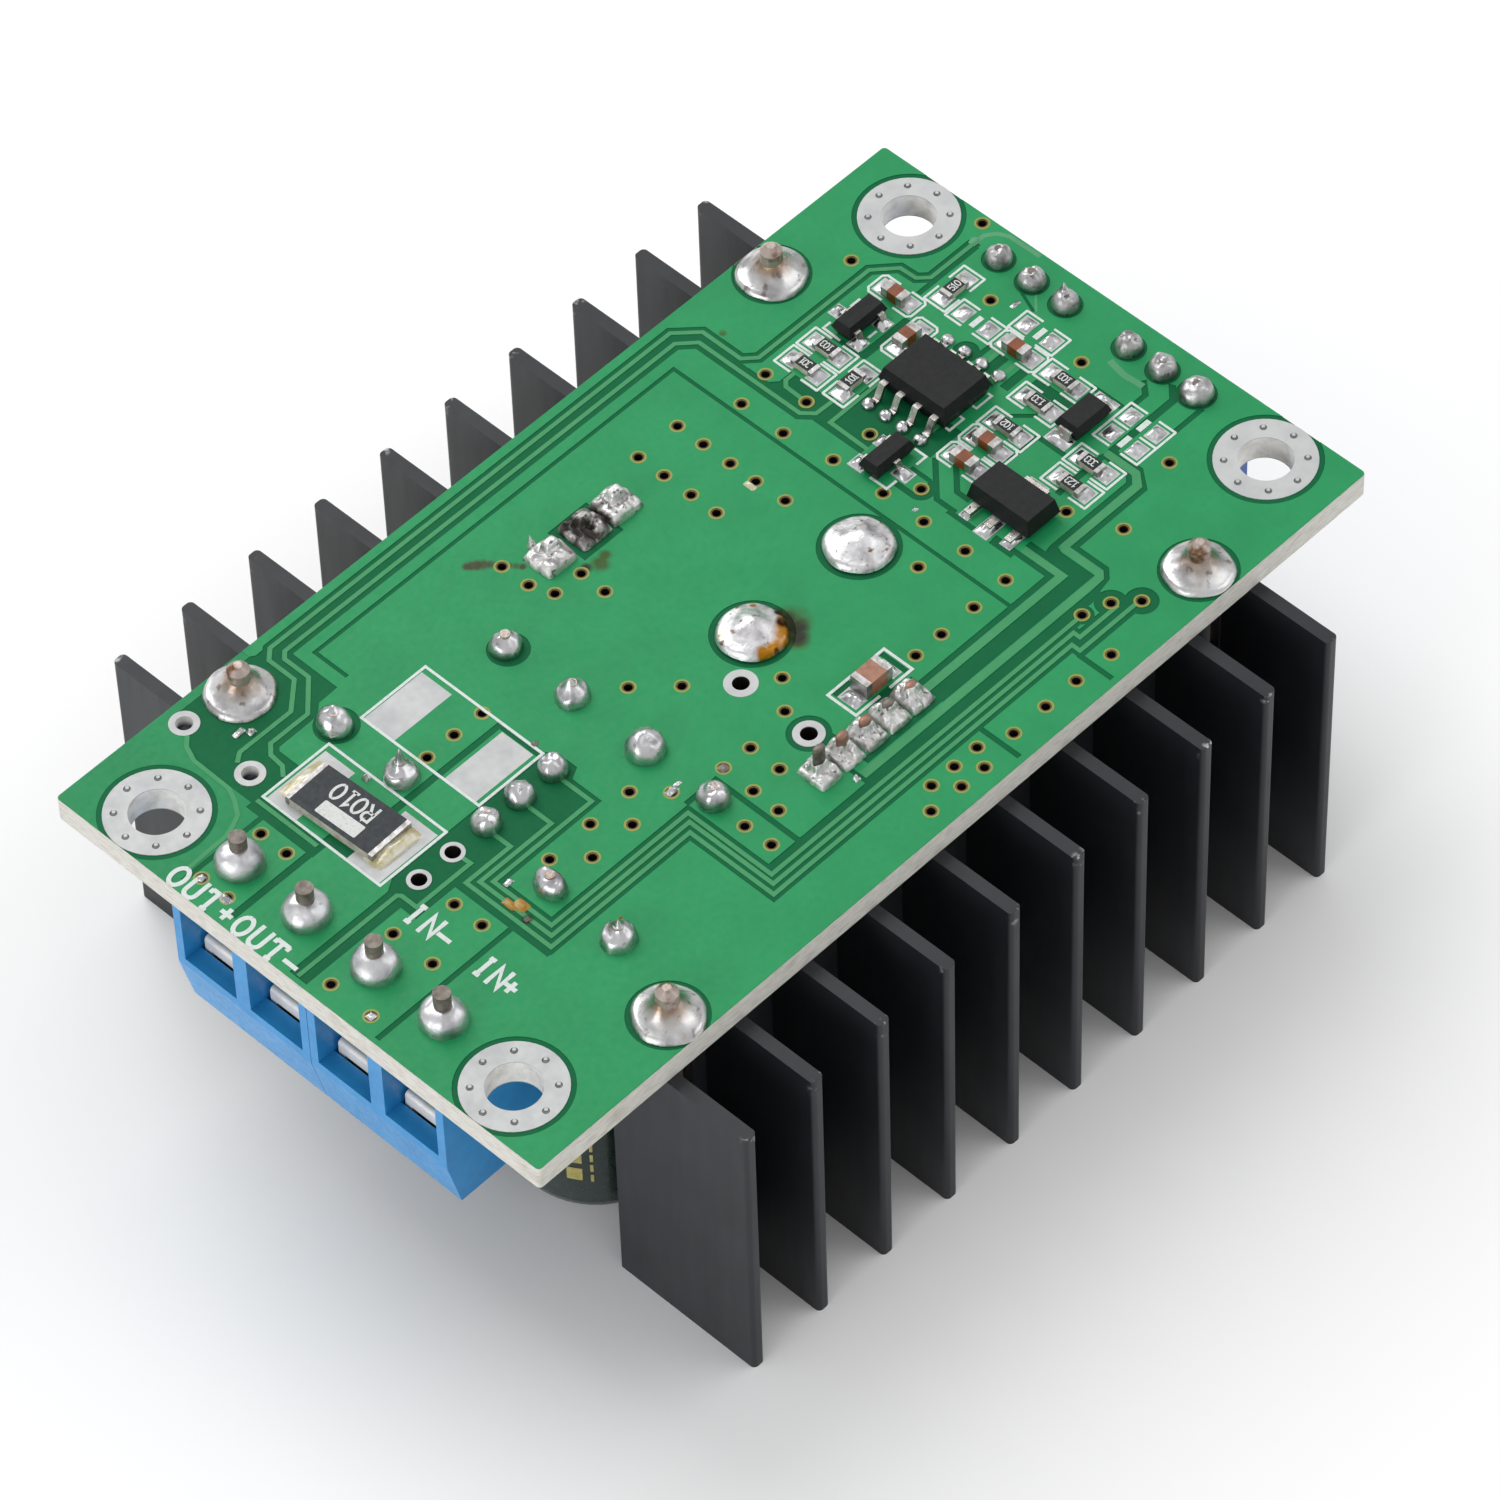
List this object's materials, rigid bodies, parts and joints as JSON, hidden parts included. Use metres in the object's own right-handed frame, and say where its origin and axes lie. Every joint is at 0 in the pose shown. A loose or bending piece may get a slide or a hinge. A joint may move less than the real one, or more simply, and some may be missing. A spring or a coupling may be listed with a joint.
{
  "type": "buck converter module",
  "caption": "Open step-down converter board with two finned heatsinks, screw terminals, capacitors, wound ring inductor and trimmers, standing solder side up.",
  "frame": {"origin": "centre of the four mounting holes on the solder face of the board", "axes": "+Z out of the solder face, +X along the board from the screw terminals to the trimmers"},
  "size_m": [0.065, 0.048, 0.0247],
  "materials": {
    "board": "green solder mask over laminate",
    "black_anodised": "satin black anodised",
    "solder": "bright soft solder",
    "tinned_lead": "tinned",
    "black_epoxy": "matt moulded epoxy",
    "terminal_blue": "moulded blue plastic",
    "trimmer_blue": "moulded blue plastic",
    "can_sleeve": "dark green-grey sleeve",
    "bung_rubber": "black rubber",
    "enamelled_wire": "enamelled copper wire",
    "core_coating": "yellow coated iron powder",
    "brass": "machined brass",
    "zinc_steel": "zinc plated steel",
    "silicone_pad": "grey silicone sheet",
    "red_lens": "tinted moulded resin",
    "chip_black": "black glass coat",
    "chip_brown": "brown ceramic",
    "chip_pink": "pinkish brown ceramic"
  },
  "bodies": {
    "module": {"amplifier_body": "black_epoxy", "amplifier_leads": "tinned_lead", "capacitor_bungs": "bung_rubber", "capacitor_input_inner": "can_sleeve", "capacitor_input_outer": "can_sleeve", "capacitor_leads": "tinned_lead", "capacitor_output_inner": "can_sleeve", "capacitor_output_outer": "can_sleeve", "chip_capacitor_bodies": "chip_brown", "chip_capacitor_ends": "tinned_lead", "chip_resistor_bodies": "chip_black", "chip_resistor_ends": "tinned_lead", "circuit_board": "board", "diode_body": "black_epoxy", "diode_tab_and_leads": "tinned_lead", "filter_capacitor_body": "chip_pink", "filter_capacitor_ends": "tinned_lead", "heatsink_diode": "black_anodised", "heatsink_pins": "tinned_lead", "heatsink_regulator": "black_anodised", "indicator_leads": "tinned_lead", "indicator_lens": "red_lens", "inductor_core": "core_coating", "inductor_winding": "enamelled_wire", "package_screws": "zinc_steel", "regulator_body": "black_epoxy", "regulator_tab_and_leads": "tinned_lead", "shunt_resistor_body": "chip_black", "shunt_resistor_ends": "tinned_lead", "signal_diode_body": "black_epoxy", "signal_diode_leads": "tinned_lead", "small_transistor_bodies": "black_epoxy", "small_transistor_leads": "tinned_lead", "solder_capacitors": "solder", "solder_diode": "solder", "solder_heatsinks": "solder", "solder_indicator": "solder", "solder_inductor": "solder", "solder_regulator": "solder", "solder_terminals": "solder", "solder_trimmers": "solder", "supply_chip_body": "black_epoxy", "supply_chip_leads": "tinned_lead", "terminal_contacts": "tinned_lead", "terminal_housing_input": "terminal_blue", "terminal_housing_output": "terminal_blue", "thermal_pads": "silicone_pad", "trimmer_body_current": "trimmer_blue", "trimmer_body_voltage": "trimmer_blue", "trimmer_pins": "tinned_lead"},
    "trimmer_screw_voltage": {"trimmer_screw_voltage": "brass"},
    "trimmer_screw_current": {"trimmer_screw_current": "brass"},
    "terminal_screw_1": {"terminal_screw_1": "zinc_steel"},
    "terminal_clamp_1": {"terminal_clamp_1": "zinc_steel"},
    "terminal_screw_2": {"terminal_screw_2": "zinc_steel"},
    "terminal_clamp_2": {"terminal_clamp_2": "zinc_steel"},
    "terminal_screw_3": {"terminal_screw_3": "zinc_steel"},
    "terminal_clamp_3": {"terminal_clamp_3": "zinc_steel"},
    "terminal_screw_4": {"terminal_screw_4": "zinc_steel"},
    "terminal_clamp_4": {"terminal_clamp_4": "zinc_steel"}
  },
  "joints": [
    {"name": "voltage_adjust_turn", "type": "hinge", "parent": "module", "child": "trimmer_screw_voltage", "pos_m": [0.03003, 0.00821, -0.0118], "axis": [0, 0, -1], "continuous": true},
    {"name": "current_adjust_turn", "type": "hinge", "parent": "module", "child": "trimmer_screw_current", "pos_m": [0.03003, -0.00168, -0.0118], "axis": [0, 0, -1], "continuous": true},
    {"name": "terminal_1_screw_turn", "type": "hinge", "parent": "module", "child": "terminal_screw_1", "pos_m": [-0.0289, 0.00769, -0.0112], "axis": [0, 0, -1], "range_deg": [0, 1080]},
    {"name": "terminal_1_clamp_slide", "type": "slide", "parent": "module", "child": "terminal_clamp_1", "axis": [0, 0, 1], "range_m": [0, 0.00135]},
    {"name": "terminal_2_screw_turn", "type": "hinge", "parent": "module", "child": "terminal_screw_2", "pos_m": [-0.0289, 0.00261, -0.0112], "axis": [0, 0, -1], "range_deg": [0, 1080]},
    {"name": "terminal_2_clamp_slide", "type": "slide", "parent": "module", "child": "terminal_clamp_2", "axis": [0, 0, 1], "range_m": [0, 0.00135]},
    {"name": "terminal_3_screw_turn", "type": "hinge", "parent": "module", "child": "terminal_screw_3", "pos_m": [-0.0289, -0.00261, -0.0112], "axis": [0, 0, -1], "range_deg": [0, 1080]},
    {"name": "terminal_3_clamp_slide", "type": "slide", "parent": "module", "child": "terminal_clamp_3", "axis": [0, 0, 1], "range_m": [0, 0.00135]},
    {"name": "terminal_4_screw_turn", "type": "hinge", "parent": "module", "child": "terminal_screw_4", "pos_m": [-0.0289, -0.00769, -0.0112], "axis": [0, 0, -1], "range_deg": [0, 1080]},
    {"name": "terminal_4_clamp_slide", "type": "slide", "parent": "module", "child": "terminal_clamp_4", "axis": [0, 0, 1], "range_m": [0, 0.00135]}
  ],
  "couplings": [
    {"joint": "terminal_1_screw_turn", "follows": "terminal_1_clamp_slide", "rad_per_m": 13962},
    {"joint": "terminal_2_screw_turn", "follows": "terminal_2_clamp_slide", "rad_per_m": 13962},
    {"joint": "terminal_3_screw_turn", "follows": "terminal_3_clamp_slide", "rad_per_m": 13962},
    {"joint": "terminal_4_screw_turn", "follows": "terminal_4_clamp_slide", "rad_per_m": 13962}
  ]
}
